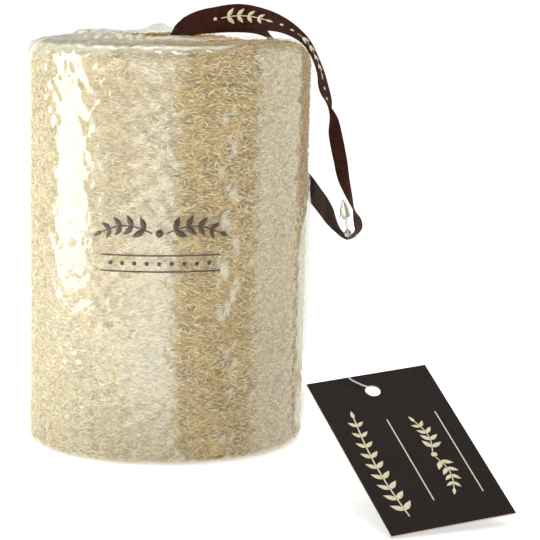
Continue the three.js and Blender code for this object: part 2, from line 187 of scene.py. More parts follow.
# Where the film hangs slack and milky, the front bands also painting the lamps' reflections: the direction of
# each band's middle and half its width, in degrees, and how milky it is
SLACK_AND_REFLECTION_BANDS = [
    (-97.5, 9.5, 0.17), (-133, 47, 0.135), (-39.5, 13.5, 0.17),
    (24, 12, 0.14), (63, 9, 0.2), (104, 14, 0.14), (141, 8, 0.2),
]

# Columns of small spots of painted highlight: direction in degrees, and the lowest and highest place along
# the outline
HIGHLIGHT_SPOT_COLUMNS = [(-66, 14, 146), (-86, 8, 32), (40, 20, 130), (122, 30, 150), (-120, 60, 150)]

# Directions round the film, in degrees: where its top is most pleated, its rolled edge is fullest, its foot
# is loose, its seam lies, its rim carries the brightest painted highlight, its shoulder creases and is
# lightened by painted reflection, its collar is tallest and has its peak
MOST_PLEATED = 215
FULLEST_ROLL = 255
LOOSE_FOOT = 322
SEAM = 353
BRIGHTEST_RIM_HIGHLIGHT = 228
CREASED_SHOULDER = 205
TALLEST_COLLAR = 200
COLLAR_PEAK = 98


def on_skin(angle, along, lift):
    """The point a distance along the outline from its foot end, raised by lift along the outline's normal.
    The radius and height come from the outline by straight interpolation. Also gives the outward
    direction."""
    radius = np.interp(along, PROFILE_ALONG, PROFILE[:, 0])
    z = np.interp(along, PROFILE_ALONG, PROFILE[:, 1])
    normal_radius = np.interp(along, PROFILE_ALONG, PROFILE_NORMAL[:, 0])
    normal_z = np.interp(along, PROFILE_ALONG, PROFILE_NORMAL[:, 1])
    points = on_body(radius + lift * normal_radius, angle, z + lift * normal_z)
    outward = np.stack([normal_radius * np.cos(angle), normal_radius * np.sin(angle), normal_z], axis=-1)
    return points, unit(outward)


def on_card(width, length, above):
    """A point on the card from its lowest corner: along its width, along its length and above its back."""
    return (
        CARD_CORNER
        + np.multiply.outer(width, CARD_ALONG_WIDTH)
        + np.multiply.outer(length, CARD_ALONG_LENGTH)
        + np.multiply.outer(above, CARD_NORMAL)
    )


def curve_span(points, where):
    """For each place from 0 to 1 along the points: the four points round it, the root of the length of each
    of their three spans, and how far the place lies through the middle span."""
    points = np.asarray(points, float)
    padded = np.vstack([2 * points[0] - points[1], points, 2 * points[-1] - points[-2]])
    spans = np.sqrt(np.linalg.norm(np.diff(padded, axis=0), axis=1))[:, None]
    place = np.clip(where, 0, 1) * (len(points) - 1)
    first = np.minimum(place.astype(int), len(points) - 2)
    t = (place - first)[:, None]
    return [padded[first + k] for k in range(4)], [spans[first + k] for k in range(3)], t


def cubic(start, end, slope_start, slope_end, t):
    """The cubic from start to end that has those slopes at its ends."""
    return (
        start
        + slope_start * t
        + (3 * (end - start) - 2 * slope_start - slope_end) * t ** 2
        + (2 * (start - end) + slope_start + slope_end) * t ** 3
    )


def even_curve(points, where):
    """A curve through the points, where each has the same share of the parameter: between two points
    a cubic whose slope at each is half the way from the point before to the point after."""
    (before, start, end, after), _, t = curve_span(points, where)
    return cubic(start, end, (end - before) / 2, (after - start) / 2, t)


def spaced_curve(points, where):
    """A curve through the points whose spans last as long as the root of their length, so that it makes no
    loops."""
    (before, start, end, after), (span_before, span, span_after), t = curve_span(points, where)
    slope_start = span * (
        (start - before) / span_before - (end - before) / (span_before + span) + (end - start) / span)
    slope_end = span * (
        (end - start) / span - (after - start) / (span + span_after) + (after - end) / span_after)
    return cubic(start, end, slope_start, slope_end, t)


def evenly_along(points, count):
    """The same line with that many points at equal distances."""
    along = distances(points)
    return at_distances(points, along, np.linspace(0, along[-1], count))


# Meshes


def mesh_piece(name, points, faces, material):
    """A piece from points in millimetres and rows of corner numbers, riding on the one body."""
    mesh = bpy.data.meshes.new(name)
    corners = np.concatenate([np.asarray(f).ravel() for f in faces]).astype(np.int32)
    sizes = np.concatenate([np.full(len(f), np.shape(f)[1]) for f in faces])
    starts = np.concatenate([[0], np.cumsum(sizes)[:-1]]).astype(np.int32)
    mesh.vertices.add(len(points))
    mesh.vertices.foreach_set("co", (np.asarray(points) * MM).astype(np.float32).ravel())
    mesh.loops.add(len(corners))
    mesh.loops.foreach_set("vertex_index", corners)
    mesh.polygons.add(len(starts))
    mesh.polygons.foreach_set("loop_start", starts)
    mesh.update(calc_edges=True)
    mesh.polygons.foreach_set("use_smooth", np.full(len(starts), True))
    mesh.materials.append(material)
    piece = bpy.data.objects.new(name, mesh)
    bpy.context.scene.collection.objects.link(piece)
    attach(piece, "root")
    return piece


def give_values(piece, name, values):
    """Stores one number for each point of the piece, for its material to read."""
    layer = piece.data.attributes.new(name, "FLOAT", "POINT")
    layer.data.foreach_set("value", np.asarray(values, np.float32).ravel())


def give_uv(piece, across, along):
    """Stores two numbers for each point of the piece as its UV map, in millimetres."""
    corners = np.empty(len(piece.data.loops), np.int32)
    piece.data.loops.foreach_get("vertex_index", corners)
    layer = piece.data.uv_layers.new(name="weave")
    places = np.stack([np.ravel(across)[corners], np.ravel(along)[corners]], axis=1)
    layer.data.foreach_set("uv", places.astype(np.float32).ravel())


def grid_faces(rows, columns, closed):
    """Four-cornered faces between the points of a grid numbered row by row. A closed grid joins its last
    column to its first."""
    row = np.arange(rows - 1)[:, None]
    column = np.arange(columns if closed else columns - 1)[None, :]
    after = (column + 1) % columns
    return np.stack([
        row * columns + column,
        row * columns + after,
        (row + 1) * columns + after,
        (row + 1) * columns + column,
    ], axis=-1).reshape(-1, 4)


def tube_shell(paths, outward, half_width, half_height, sides):
    """Tubes round many paths at once. paths is tubes by steps by 3. Each section is an ellipse whose height
    points along the outward direction made square to the path; both ends are closed by flat caps."""
    tubes, steps, _ = paths.shape
    tangent = unit(np.gradient(paths, axis=1))
    across = unit(np.cross(tangent, outward))
    lift = np.cross(across, tangent)
    turn = TAU * np.arange(sides) / sides + math.pi / 2
    points = (
        paths[:, :, None, :]
        + (half_width[..., None] * np.cos(turn))[..., None] * across[:, :, None, :]
        + (half_height[..., None] * np.sin(turn))[..., None] * lift[:, :, None, :]
    ).reshape(-1, 3)
    tube = np.arange(tubes)[:, None, None] * steps * sides
    step = np.arange(steps - 1)[None, :, None] * sides
    side = np.arange(sides)[None, None, :]
    after = (side + 1) % sides
    walls = np.stack([
        tube + step + side,
        tube + step + sides + side,
        tube + step + sides + after,
        tube + step + after,
    ], axis=-1).reshape(-1, 4)
    first_ring = np.arange(tubes)[:, None] * steps * sides + np.arange(sides)[None, :]
    last_ring = first_ring[:, ::-1] + (steps - 1) * sides
    return points, [walls, np.vstack([first_ring, last_ring])]


# Materials


def add_node(tree, kind, settings=None, **sockets):
    """Adds a node, sets its properties or the stops of its colour ramp, and sets or links its inputs by name,
    or by number after an i. A node given as an input is linked from its first output."""
    node = tree.nodes.new(f"ShaderNode{kind}")
    for key, value in (settings or {}).items():
        if key == "stops":
            set_stops(node.color_ramp.elements, value)
        else:
            setattr(node, key, value)
    for key, value in sockets.items():
        numbered = key[0] == "i" and key[1:].isdigit()
        socket = node.inputs[int(key[1:]) if numbered else key.replace("_", " ")]
        if isinstance(value, bpy.types.Node):
            value = value.outputs[0]
        if isinstance(value, bpy.types.NodeSocket):
            tree.links.new(value, socket)
        else:
            socket.default_value = value
    return node


def set_stops(elements, stops):
    """Puts the hex colours at their places from 0 to 1 along a colour ramp."""
    while len(elements) < len(stops):
        elements.new(0.5)
    for element, (place, colour) in zip(elements, stops):
        element.position = place
        element.color = linear(colour)


def new_material(name):
    """A material with an empty node tree, and that tree."""
    material = bpy.data.materials.new(name)
    material.use_nodes = True
    material.node_tree.nodes.clear()
    return material, material.node_tree


def blobs(size_mm):
    """The scale of a noise on metres whose blobs are about that many millimetres across."""
    return 0.5 / (size_mm * MM)


def dried_luffa_fibre(settings):
    """Luffa vascular bundles, retted, bleached and sun dried: matt cream threads that turn tan where they
    were less bleached, and darker, as painted shade, where they lie deep, on the top and in the ribbon's
    shadow."""
    material, tree = new_material("dried_luffa_fibre")
    place = add_node(tree, "TexCoord").outputs["Object"]
    tone = add_node(tree, "Attribute", {"attribute_name": "tone"}).outputs["Fac"]
    patches = add_node(tree, "TexNoise", Vector=place, Scale=blobs(14), Detail=3.0)
    bleached = add_node(tree, "Math", {"operation": "MULTIPLY_ADD"}, i0=patches, i1=0.5, i2=-0.25)
    mixed = add_node(tree, "Math", {"operation": "ADD"}, i0=tone, i1=bleached)
    stops = [(0.0, settings.deep_tone), (0.35, settings.middle_tone), (1.0, settings.pale_tone)]
    colour = add_node(tree, "ValToRGB", {"stops": stops}, Fac=mixed)
    grain = add_node(tree, "TexNoise", Vector=place, Scale=blobs(0.3), Detail=2.0)
    bump = add_node(tree, "Bump", Strength=0.25, Distance=0.0001, Height=grain)
    shader = add_node(
        tree, "BsdfPrincipled", Base_Color=colour, Roughness=0.62, IOR=1.5, Specular_IOR_Level=0.35,
        Normal=bump)
    add_node(tree, "OutputMaterial", Surface=shader)
    return material


def luffa_mat(settings):
    """The mat below the top threads: finer felted fibre, tan, with painted shade that darkens it where it
    falls into the meshes and on the cut end at the top. Its meshes, nine to 10 mm, are drawn out to about 2.5
    mm round the body and 0.7 mm up it."""
    material, tree = new_material("luffa_fibre_mat")
    coordinates = add_node(tree, "TexCoord")
    place = coordinates.outputs["Object"]
    drawn_out = add_node(tree, "Mapping", Vector=place, Scale=(0.45, 0.45, 1.5))
    # The middle of each mesh goes to the gap tone, which is painted shade in the hollows.
    threads = add_node(
        tree, "TexVoronoi", {"feature": "DISTANCE_TO_EDGE"}, Vector=drawn_out, Scale=9 / (10 * MM))
    edge = add_node(
        tree, "MapRange", Value=threads.outputs["Distance"], From_Min=0.0, From_Max=0.35, To_Min=0.75,
        To_Max=0.0)
    patches = add_node(tree, "TexNoise", Vector=place, Scale=blobs(9), Detail=3.0)
    mixed = add_node(tree, "Math", {"operation": "MULTIPLY_ADD"}, i0=patches, i1=0.6, i2=edge)
    facing = add_node(tree, "SeparateXYZ", Vector=coordinates.outputs["Normal"]).outputs["Z"]
    # Painted shade: the cut end, facing up, is darkened.
    cut = add_node(tree, "MapRange", Value=facing, From_Min=0.6, From_Max=0.9, To_Min=0.2, To_Max=0.5)
    shifted = add_node(tree, "Math", {"operation": "SUBTRACT"}, i0=mixed, i1=cut)
    stops = [(0.0, settings.painted_gap_shade), (0.5, settings.deep_tone), (1.0, settings.middle_tone)]
    colour = add_node(tree, "ValToRGB", {"stops": stops}, Fac=shifted)
    bump = add_node(tree, "Bump", Strength=0.7, Distance=0.0004, Height=mixed)
    shader = add_node(
        tree, "BsdfPrincipled", Base_Color=colour, Roughness=0.8, IOR=1.5, Specular_IOR_Level=0.25,
        Normal=bump)
    add_node(tree, "OutputMaterial", Surface=shader)
    return material


def shrink_film(settings):
    """Clear polyolefin shrink film, drawn tight by heat: almost invisible face on, with hard bright
    reflections broken by crinkles, and milky where it hangs slack or is folded. The lamps' reflections and
    highlights are also painted into that milkiness, in bands, spots, along the rim and over the left
    shoulder."""
    material, tree = new_material("polyolefin_shrink_film")
    place = add_node(tree, "TexCoord").outputs["Object"]
    dimples = add_node(tree, "TexNoise", Vector=place, Scale=blobs(2.6), Detail=2.0)
    ripples = add_node(tree, "TexNoise", Vector=place, Scale=blobs(9), Detail=2.0)
    relief = add_node(tree, "Math", {"operation": "MULTIPLY_ADD"}, i0=ripples, i1=1.5, i2=dimples)
    bump = add_node(tree, "Bump", Strength=1.0, Distance=0.0004, Height=relief)
    # The attribute holds the film's milkiness together with its painted reflections and highlights.
    haze = add_node(tree, "Attribute", {"attribute_name": "haze"}).outputs["Fac"]
    speckle = add_node(tree, "TexNoise", Vector=place, Scale=blobs(0.9), Detail=3.0)
    grain = add_node(tree, "Math", {"operation": "MULTIPLY_ADD"}, i0=speckle, i1=0.9, i2=0.55)
    torn = add_node(tree, "Math", {"operation": "MULTIPLY"}, i0=haze, i1=grain)
    veil = add_node(
        tree, "MapRange", Value=torn, From_Min=0.0, From_Max=1.0, To_Min=settings.clearness, To_Max=0.72)
    shader = add_node(
        tree, "BsdfPrincipled", Base_Color=linear("#e9e8cf"), Roughness=0.09, IOR=1.9, Alpha=veil,
        Specular_IOR_Level=1.0, Coat_Weight=1.0, Coat_Roughness=0.05, Normal=bump)
    add_node(tree, "OutputMaterial", Surface=shader)
    return material


def woven_satin(settings):
    """Polyester satin ribbon, woven with long floating threads: a dark brown face whose lustre keeps the
    red of the dye, which the part metallic share gives it. Its map is in millimetres: the threads come 0.29
    mm apart, drawn coarser than real satin's so that they show, and the slubs are about 1.4 mm across."""
    material, tree = new_material("woven_polyester_satin")
    weave = add_node(tree, "UVMap", {"uv_map": "weave"})
    threads = add_node(
        tree, "TexWave", {"wave_type": "BANDS", "bands_direction": "X"}, Vector=weave, Scale=1.1,
        Distortion=0.6, Detail=1.0).outputs["Fac"]
    slubs = add_node(tree, "TexNoise", Vector=weave, Scale=0.35, Detail=3.0)
    tinted = add_node(tree, "Math", {"operation": "MULTIPLY_ADD"}, i0=threads, i1=0.4, i2=slubs)
    stops = [(0.3, settings.shade), (0.9, settings.face)]
    colour = add_node(tree, "ValToRGB", {"stops": stops}, Fac=tinted)
    bump = add_node(tree, "Bump", Strength=0.35, Distance=0.00008, Height=threads)
    shader = add_node(
        tree, "BsdfPrincipled", Base_Color=colour, Roughness=0.46, IOR=1.45, Metallic=0.4,
        Specular_IOR_Level=0.08, Specular_Tint=linear("#6e4438"), Anisotropic=0.6, Normal=bump)
    add_node(tree, "OutputMaterial", Surface=shader)
    return material


def drawn_nylon():
    """Clear nylon strand, drawn thin: it all but vanishes on white and shows pale on the dark card."""
    material, tree = new_material("drawn_clear_nylon")
    place = add_node(tree, "TexCoord").outputs["Object"]
    flow = add_node(tree, "TexNoise", Vector=place, Scale=blobs(0.8), Detail=2.0)
    bump = add_node(tree, "Bump", Strength=0.1, Distance=0.00005, Height=flow)
    shader = add_node(
        tree, "BsdfPrincipled", Base_Color=linear("#eeeee6"), Roughness=0.15, IOR=1.53, Alpha=0.4,
        Normal=bump)
    add_node(tree, "OutputMaterial", Surface=shader)
    return material


def moulded_nylon():
    """Clear nylon, injection moulded: glassy, so that its edges darken where they bend what lies behind."""
    material, tree = new_material("moulded_clear_nylon")
    place = add_node(tree, "TexCoord").outputs["Object"]
    flow = add_node(tree, "TexNoise", Vector=place, Scale=blobs(1.5), Detail=2.0)
    bump = add_node(tree, "Bump", Strength=0.15, Distance=0.0001, Height=flow)
    shader = add_node(
        tree, "BsdfPrincipled", Base_Color=linear("#e6e6d8"), Roughness=0.1, IOR=1.53,
        Transmission_Weight=0.85, Normal=bump)
    add_node(tree, "OutputMaterial", Surface=shader)
    return material


def coated_card(settings):
    """Coated board printed solid dark brown and die cut: a smooth, faintly mottled face with soft gloss
    and pale fibres showing on the cut edges."""
    material, tree = new_material("printed_coated_board")
    coordinates = add_node(tree, "TexCoord")
    place = coordinates.outputs["Object"]
    mottle = add_node(tree, "TexNoise", Vector=place, Scale=blobs(1.2), Detail=3.0)
    stops = [(0.3, settings.card_shade), (0.75, settings.card_face)]
    face = add_node(tree, "ValToRGB", {"stops": stops}, Fac=mottle)
    facing = add_node(
        tree, "VectorMath", {"operation": "DOT_PRODUCT"}, i0=coordinates.outputs["Normal"],
        i1=tuple(CARD_NORMAL)).outputs["Value"]
    squarely = add_node(tree, "Math", {"operation": "ABSOLUTE"}, i0=facing)
    cut = add_node(tree, "Math", {"operation": "LESS_THAN"}, i0=squarely, i1=0.5)
    colour = add_node(
        tree, "Mix", {"data_type": "RGBA"}, i0=cut, i6=face.outputs[0], i7=linear("#b9aa98")).outputs[2]
    grain = add_node(tree, "TexNoise", Vector=place, Scale=blobs(0.35), Detail=2.0)
    bump = add_node(tree, "Bump", Strength=0.12, Distance=0.00005, Height=grain)
    shader = add_node(
        tree, "BsdfPrincipled", Base_Color=colour, Roughness=0.55, IOR=1.5, Specular_IOR_Level=0.1,
        Normal=bump)
    add_node(tree, "OutputMaterial", Surface=shader)
    return material


def printing_ink(name, colour, shade, roughness):
    """Screen printing ink: an opaque film with slightly uneven cover."""
    material, tree = new_material(name)
    place = add_node(tree, "TexCoord").outputs["Object"]
    cover = add_node(tree, "TexNoise", Vector=place, Scale=blobs(0.5), Detail=3.0)
    mixed = add_node(tree, "ValToRGB", {"stops": [(0.25, shade), (0.7, colour)]}, Fac=cover)
    shader = add_node(tree, "BsdfPrincipled", Base_Color=mixed, Roughness=roughness, IOR=1.5)
    add_node(tree, "OutputMaterial", Surface=shader)
    return material


def studio_floor(settings):
    """White seamless paper, lit so evenly that it prints almost white."""
    material, tree = new_material("white_seamless_paper")
    shader = add_node(
        tree, "BsdfPrincipled", Base_Color=(0.86, 0.86, 0.85, 1), Roughness=0.9,
        Emission_Color=(1, 1, 1, 1), Emission_Strength=settings.floor_glow, Specular_IOR_Level=0.1)
    add_node(tree, "OutputMaterial", Surface=shader)
    return material


# The pieces


def fibre_lines(rng, count, steps, length, wave, spread, wild, lift):
    """Wavy lines laid flat round a middle point. Along its heading a line runs from minus to plus half its
    length; to the side it swings as a sine and bends as a square; its ends dip. A share of the lines, wild,
    lies any way. Gives the way across, the way up, the height and the place from -1 to 1 along each line."""
    place = np.linspace(-1, 1, steps)[None, :]
    half = 0.5 * rng.uniform(0.6, 1.5, (count, 1)) * length
    heading = rng.normal(0, spread, (count, 1))
    free = rng.random((count, 1)) < wild
    heading = np.where(free, rng.uniform(-math.pi / 2, math.pi / 2, (count, 1)), heading)
    along = half * place
    swing = wave * rng.uniform(0.4, 1.3, (count, 1))
    pitch = rng.uniform(2.6, 6, (count, 1))
    side = swing * np.sin(TAU * along / pitch + rng.uniform(0, TAU, (count, 1)))
    side = side + rng.normal(0, 0.08, (count, 1)) * along ** 2
    across = along * np.cos(heading) - side * np.sin(heading)
    up = along * np.sin(heading) + side * np.cos(heading)
    height = rng.uniform(lift[0], lift[1], (count, 1))
    bob = rng.uniform(0, TAU, (count, 1))
    height = height + 0.12 * np.sin(TAU * along / rng.uniform(3, 6, (count, 1)) + bob)
    height = height - 0.7 * np.abs(place) ** 5
    return across, up, height, place


def painted_ribbon_shadow(angle, along):
    """How far the fibres are darkened by the ribbon's painted shadow, from 0 to 1: one long patch high on the
    right side.
    """
    across = ease((math.radians(21) - np.abs(turn_from(angle, -5))) / math.radians(3))
    return across * ease((along - 96) / 16) * ease((EDGE_ALONG + 4 - along) / 6)


def fibre_tones(rng, height, lift, steps, sides):
    """A tone for each point of each tube: mostly the fibre's own, and paler where it lies high, as painted
    shade on the fibres that lie deep.
    """
    level = (height - lift[0]) / (lift[1] - lift[0])
    own = rng.beta(2.2, 1.6, (len(height), 1))
    # The share that follows the level is painted shade for the fibre's depth.
    tone = np.clip(0.65 * own + 0.35 * level, 0, 1)
    return np.repeat(tone[:, :, None], sides, axis=2)


def fibre_widths(rng, settings, place):
    """Half the width of each fibre along its line: its own width, narrowing to its ends."""
    own = rng.uniform(0.7, 1.3, (len(place), 1))
    return 0.5 * settings.fibre_width / MM * own * (1 - 0.55 * np.abs(place) ** 4)


def side_fibres(settings, name, seed, material):
    """Fibres round the sponge's side and over both its rounded edges. They hang down past the foot's
    rounding, and are darkened by painted shade over the top edge and by the ribbon's painted shadow in one
    patch of the side."""
    rng = np.random.default_rng(seed)
    count, steps, sides = settings.fibres_per_layer, 4, 3
    lift = (-0.4, 0.24)
    across, up, height, place = fibre_lines(
        rng, count, steps, settings.fibre_length / MM, 0.19, 0.5, 0.2, lift)
    middle = rng.uniform(0, PROFILE_ALONG[-1] - 1, (count, 1))
    angle = rng.uniform(0, TAU, (count, 1)) + across / SPONGE_RADIUS
    along = np.clip(middle + up, 0, PROFILE_ALONG[-1])
    hanging = 0.75 * ease((SIDE_FOOT_ALONG + 1 - along) / 4)
    paths, outward = on_skin(angle, along, height + hanging)
    width = fibre_widths(rng, settings, place + 0 * across)
    points, faces = tube_shell(paths, outward, width, 0.85 * width, sides)
    piece = mesh_piece(name, points, faces, material)
    # Painted shade: darker over the top edge, and the ribbon's painted shadow high on the right side.
    painted_shade = np.maximum(0.5 * ease((middle - EDGE_ALONG + 1) / 3), 0.6 * painted_ribbon_shadow(angle[:, :1], middle))
    give_values(piece, "tone", fibre_tones(rng, height, lift, steps, sides) - painted_shade[:, :, None])
    return piece


def end_fibres(settings, name, seed, material, count, reach, upward, shade):
    """Fibres lying every way over a cut end, darkened by the shade given, which is painted shade. Lines whose
    middle falls in a seed chamber are left out."""
    rng = np.random.default_rng(seed)
    steps, sides = 5, 3
    lift = (-0.3, 0.25) if upward > 0 else (-0.3, 0.02)
    radius = reach * np.sqrt(rng.random(3 * count))
    turn = rng.uniform(0, TAU, 3 * count)
    middle = np.stack([radius * np.cos(turn), radius * np.sin(turn)], axis=1)
    chamber_turn = TAU * (np.arange(CHAMBERS) / CHAMBERS + 0.25)
    chambers = CHAMBER_OFFSET * np.stack([np.cos(chamber_turn), np.sin(chamber_turn)], axis=1)
    nearest = np.linalg.norm(middle[:, None, :] - chambers[None], axis=2).min(axis=1)
    middle = middle[nearest > CHAMBER_RADIUS][:count]
    count = len(middle)
    across, up, height, place = fibre_lines(
        rng, count, steps, 1.2 * settings.fibre_length / MM, 0.4, 1.2, 0.5, lift)
    turned_by = rng.uniform(0, TAU, (count, 1))
    x = middle[:, :1] + across * np.cos(turned_by) - up * np.sin(turned_by)
    y = middle[:, 1:] + across * np.sin(turned_by) + up * np.cos(turned_by)
    z = SPONGE_HEIGHT if upward > 0 else 0.0
    paths = on_body(np.hypot(x, y), np.arctan2(y, x), z + upward * height)
    outward = np.zeros_like(paths)
    outward[..., 2] = upward
    width = fibre_widths(rng, settings, place + 0 * across)
    points, faces = tube_shell(paths, outward, width, 0.85 * width, sides)
    piece = mesh_piece(name, points, faces, material)
    # The shade is painted shade: strong on the top, which is lit less, and slight on the foot, which faces
    # down.
    give_values(piece, "tone", fibre_tones(rng, height, lift, steps, sides) - shade)
    return piece


def crumple(rng, angle, along, waves, turns, rate):
    """A repeatable crumple: the sum of cosines that run round the axis a seeded whole number of times, and
    along the outline at a seeded rate for each millimetre, at least four tenths of the given one."""
    total = 0.0 * (angle + along)
    for number in rng.integers(turns[0], turns[1], waves):
        slant = rng.choice([-1, 1]) * rng.uniform(0.4, 1) * rate
        total = total + np.cos(number * angle + slant * along + rng.uniform(0, TAU))
    return total * math.sqrt(2 / waves)


def ease(values):
    """Values held between 0 and 1, with a soft start and end."""
    held = np.clip(values, 0, 1)
    return held * held * (3 - 2 * held)


def turn_from(angle, degrees):
    """The angle's signed distance from a direction, the short way round."""
    return (angle - math.radians(degrees) + math.pi) % TAU - math.pi


def film_lift(settings, angle, along):
    """Height of the film over the skin: a small gap, soft ripples where it follows the net, pleats that grow
    over the top edge, a rolled edge round the rim, a loose corner at the foot's right, and a sealed seam at
    the right."""
    rng = np.random.default_rng(41)
    near_top = ease((along - (RIM_ALONG - 40)) / 42) * (0.55 + 0.45 * np.cos(turn_from(angle, MOST_PLEATED)))
    ripples = 0.11 * crumple(rng, angle, along, 18, (8, 60), 1.0)
    folds = 0.03 * crumple(rng, angle, along, 8, (5, 30), 0.05)
    tight = 0.2 * crumple(rng, angle, along, 14, (16, 70), 0.7)
    facing = ease(0.75 + 0.8 * np.cos(turn_from(angle, FULLEST_ROLL)))
    rolled = 1.6 * np.exp(-((along - EDGE_ALONG + 1) / 3.4) ** 2) * facing
    skirt = 1.3 * np.exp(-((along - SIDE_FOOT_ALONG + 0.6) / 2.2) ** 2)
    skirt = skirt * np.exp(-(turn_from(angle, LOOSE_FOOT) / math.radians(24)) ** 2)
    seam = np.exp(-(turn_from(angle, SEAM) / math.radians(5)) ** 2)
    seam = seam * ease((along - 12) / 12) * ease((118 - along) / 20)
    under = 0.4 * ease((SIDE_FOOT_ALONG + 1 - along) / 4)
    lift = settings.film_gap / MM + ripples + folds + near_top * tight + under
    return np.maximum(lift, 0.5) + rolled + skirt + settings.seam_height / MM * seam


def film_haze(angle, along):
    """How milky and how bright the film is painted, from 0 to 1: where it hangs slack off the fibre in bands
    with ragged edges, whose front ones paint the lamps' reflections; in spots of painted highlight; along the
    flap of its seam, folded double and lightened by painted reflection; in a painted highlight along the
    rolled rim; and in creases over the left shoulder, lightened by painted reflection."""
    rng = np.random.default_rng(43)
    ragged = math.radians(1.5) * crumple(rng, angle, along, 16, (6, 60), 1.1)
    haze = 0.0 * (angle + along)
    # Bands of slack, milky film; the front ones paint the lamps' reflections.
    for centre, half_width, strength in SLACK_AND_REFLECTION_BANDS:
        inside = math.radians(half_width) - np.abs(turn_from(angle, centre) + ragged)
        haze = np.maximum(haze, strength * ease(0.5 + inside / math.radians(2.2)))
    haze = haze * ease((EDGE_ALONG + 2 - along) / 4)
    # Painted highlights: small bright spots in columns.
    spots = 0.75 * crumple(rng, angle, along, 14, (14, 50), 0.5)
    spots = spots + 0.65 * crumple(rng, angle, along, 14, (30, 90), 1.1)
    for centre, lowest, highest in HIGHLIGHT_SPOT_COLUMNS:
        column = np.exp(-(turn_from(angle, centre) / math.radians(6.5)) ** 4)
        column = column * ease((along - lowest) / 8) * ease((highest - along) / 8)
        haze = np.maximum(haze, 0.4 * ease(1.5 * (column * (spots + 0.9) - 1.5)))
    # The seam's flap is milky where the film lies double, and lightened further as painted reflection.
    flap_edge = math.radians(-22) + np.clip((along - 88) / 26, 0, 1) * math.radians(21)
    flap = ease(0.5 + (turn_from(angle, 0) - flap_edge + 0.6 * ragged) / math.radians(2.5))
    flap = flap * ease((math.radians(12) - turn_from(angle, 0)) / math.radians(8)) * ease((116 - along) / 6)
    flap = flap * ease((along - 15) / 6) * (1 - 0.9 * np.exp(-((along - 37) / 6) ** 2))
    # The rim line is a painted highlight, brightest at the front left.
    bright = ease(1.15 * np.cos(turn_from(angle, BRIGHTEST_RIM_HIGHLIGHT)) - 0.15)
    rim = np.exp(-((along - EDGE_ALONG + 0.6) / 0.8) ** 2) * bright
    rim = rim * (0.85 + 0.15 * crumple(rng, angle, along, 8, (8, 40), 0.5))
    # Over the left shoulder, creases lightened as painted reflection.
    creases = ease(0.5 + 0.5 * crumple(rng, angle, along, 14, (3, 22), 1.6))
    facing_shoulder = ease(1.1 * np.cos(turn_from(angle, CREASED_SHOULDER)) - 0.1)
    shoulder = ease((along - EDGE_ALONG + 6) / 6) * facing_shoulder * (0.2 + 0.3 * creases)
    return np.clip(np.maximum.reduce([haze, 0.42 * flap, 1.2 * rim, shoulder]), 0, 1)


def film_surface(settings):
    """The film as a grid: round the axis by along the outline from the foot's lip to the top's lip, and on
    past it into a free collar. The collar's height is a sum of cosines, tall at the front left and with one
    peak at the back; it leans in and its pleats deepen to its edge."""
    rng = np.random.default_rng(47)
    columns = 300
    lip = RIM_ALONG + 6.6
    along = np.concatenate([
        np.linspace(1.6, 17, 8, endpoint=False),
        np.linspace(17, 132, 54, endpoint=False),
        np.linspace(132, lip, 40),
    ])[:, None]
    angle = np.linspace(0, TAU, columns, endpoint=False)[None, :]
    lift = film_lift(settings, angle, along)
    points, _ = on_skin(angle + 0 * along, along + 0 * angle, lift)
    free = np.linspace(0, 1, 19)[1:, None]
    toward = 0.5 + 0.5 * np.cos(turn_from(angle, TALLEST_COLLAR))
    crest = (0.3 + 1.9 * toward) * (1 + 0.12 * crumple(rng, angle, 0, 8, (3, 14), 0))
    crest = crest + 2.6 * np.exp(-(turn_from(angle, COLLAR_PEAK) / math.radians(7)) ** 2)
    crest = np.maximum(crest + 0.12 * crumple(rng, angle, 0, 10, (16, 60), 0), 0.2)
    pleat = crumple(rng, angle, 3 * free, 12, (8, 34), 1.6)
    inward = 37.2 - (1.5 + 4.5 * toward) * free ** 1.4 + 0.5 * free * pleat
    rise = SPONGE_HEIGHT + lift[-1:] + crest * np.sin(free * math.pi * 0.6) + 0.12 * free * pleat
    lip_points = on_body(inward, angle + 0.012 * free * crumple(rng, angle, free, 8, (12, 40), 2), rise)
    haze = film_haze(angle, along)
    lip_haze = 0.36 + 0.3 * ease(0.35 + 0.5 * pleat) * (0.4 + 0.6 * free) + 0.2 * free ** 6
    lip_haze = lip_haze * (0.12 + 0.88 * toward)
    return np.concatenate([points, lip_points]), np.concatenate([haze, np.clip(lip_haze, 0, 0.85)])


def film_piece(settings, material):
    """The film's grid, given a thin wall inwards, so that its lips are closed."""
    grid, haze = film_surface(settings)
    rows, columns = grid.shape[:2]
    faces = [grid_faces(rows, columns, True)]
    piece = mesh_piece("shrink_film", grid.reshape(-1, 3), faces, material)
    give_values(piece, "haze", haze)
    wall = piece.modifiers.new("film_wall", "SOLIDIFY")
    wall.thickness = settings.film_wall
    wall.offset = -1
    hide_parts("film_wrap")
    return piece


def leave_no_shade(piece):
    """The solids' ribbon probably hangs further forward than the real one: its shade and its mirror image
    would fall on the front of the film, where the photograph shows none. This leaves both out."""
    piece.visible_shadow = False
    piece.visible_glossy = False
    piece.visible_diffuse = False


def ribbon_section(samples):
    """Half widths and thicknesses round the flat section: two faces that thicken at the selvedges."""
    turn = TAU * np.arange(samples) / samples
    across = np.sign(np.cos(turn)) * np.abs(np.cos(turn)) ** 0.55
    thick = np.sign(np.sin(turn)) * np.abs(np.sin(turn)) ** 0.35 * (1 + 0.8 * np.abs(across) ** 14)
    return across, thick


